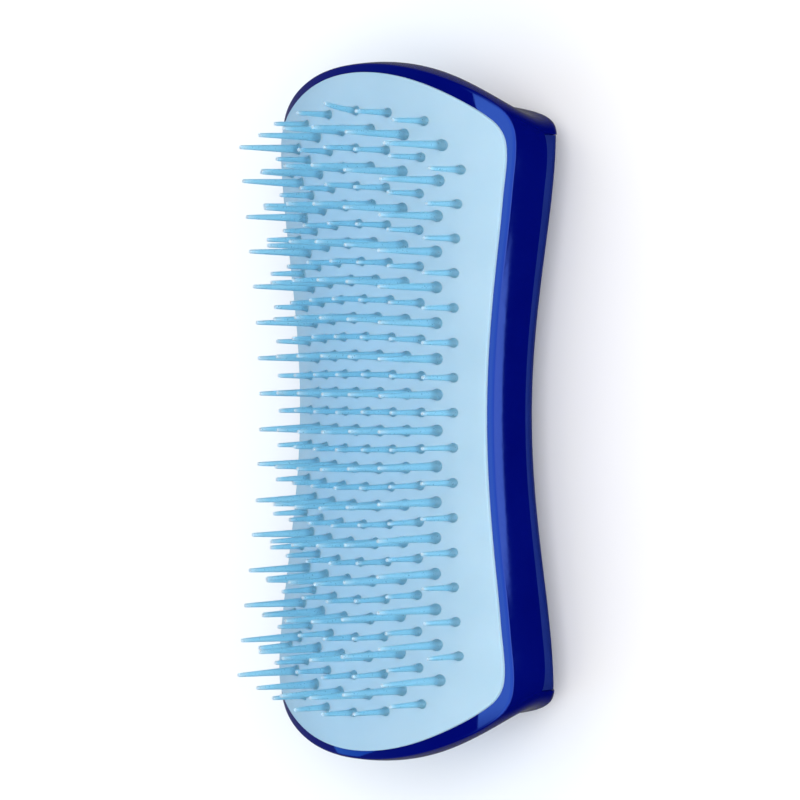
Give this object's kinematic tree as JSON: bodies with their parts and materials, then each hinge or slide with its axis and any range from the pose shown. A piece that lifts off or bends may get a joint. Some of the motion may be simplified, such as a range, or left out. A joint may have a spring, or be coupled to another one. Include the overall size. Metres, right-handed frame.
{
  "type": "pet grooming brush",
  "caption": "Palm-held pet grooming brush: hourglass gloss plastic shell with a crowned elastomer pad carrying alternating rows of long and short flexible teeth.",
  "frame": {"origin": "on the surface the brush lies on, below the middle of its length and width, with the teeth upwards", "axes": "+X along the brush, +Y across it, +Z the way the teeth point"},
  "size_m": [0.1456, 0.0658, 0.0544],
  "materials": {
    "shell_gloss_blue": "glossy injection moulded, royal blue",
    "grip_satin_blue": "satin soft-touch, dark blue, with small raised dots",
    "carrier_plastic": "plain moulded, dark blue",
    "pad_elastomer": "satin elastomer, pale sky blue",
    "tooth_elastomer": "translucent satin elastomer, sky blue"
  },
  "bodies": {
    "root": {"palm_shell": "shell_gloss_blue", "grip_panel": "grip_satin_blue", "pad_carrier": "carrier_plastic", "tooth_pad": "pad_elastomer", "tooth_roots": "tooth_elastomer", "long_teeth_row_01": "tooth_elastomer", "long_teeth_row_02": "tooth_elastomer", "long_teeth_row_03": "tooth_elastomer", "long_teeth_row_04": "tooth_elastomer", "long_teeth_row_05": "tooth_elastomer", "long_teeth_row_06": "tooth_elastomer", "long_teeth_row_07": "tooth_elastomer", "long_teeth_row_08": "tooth_elastomer", "long_teeth_row_09": "tooth_elastomer", "long_teeth_row_10": "tooth_elastomer", "long_teeth_row_11": "tooth_elastomer", "long_teeth_row_12": "tooth_elastomer", "long_teeth_row_13": "tooth_elastomer", "long_teeth_row_14": "tooth_elastomer", "long_teeth_row_15": "tooth_elastomer", "long_teeth_row_16": "tooth_elastomer", "short_teeth_row_01": "tooth_elastomer", "short_teeth_row_02": "tooth_elastomer", "short_teeth_row_03": "tooth_elastomer", "short_teeth_row_04": "tooth_elastomer", "short_teeth_row_05": "tooth_elastomer", "short_teeth_row_06": "tooth_elastomer", "short_teeth_row_07": "tooth_elastomer", "short_teeth_row_08": "tooth_elastomer", "short_teeth_row_09": "tooth_elastomer", "short_teeth_row_10": "tooth_elastomer", "short_teeth_row_11": "tooth_elastomer", "short_teeth_row_12": "tooth_elastomer", "short_teeth_row_13": "tooth_elastomer", "short_teeth_row_14": "tooth_elastomer", "short_teeth_row_15": "tooth_elastomer", "short_teeth_row_16": "tooth_elastomer", "short_teeth_row_17": "tooth_elastomer"}
  },
  "joints": []
}
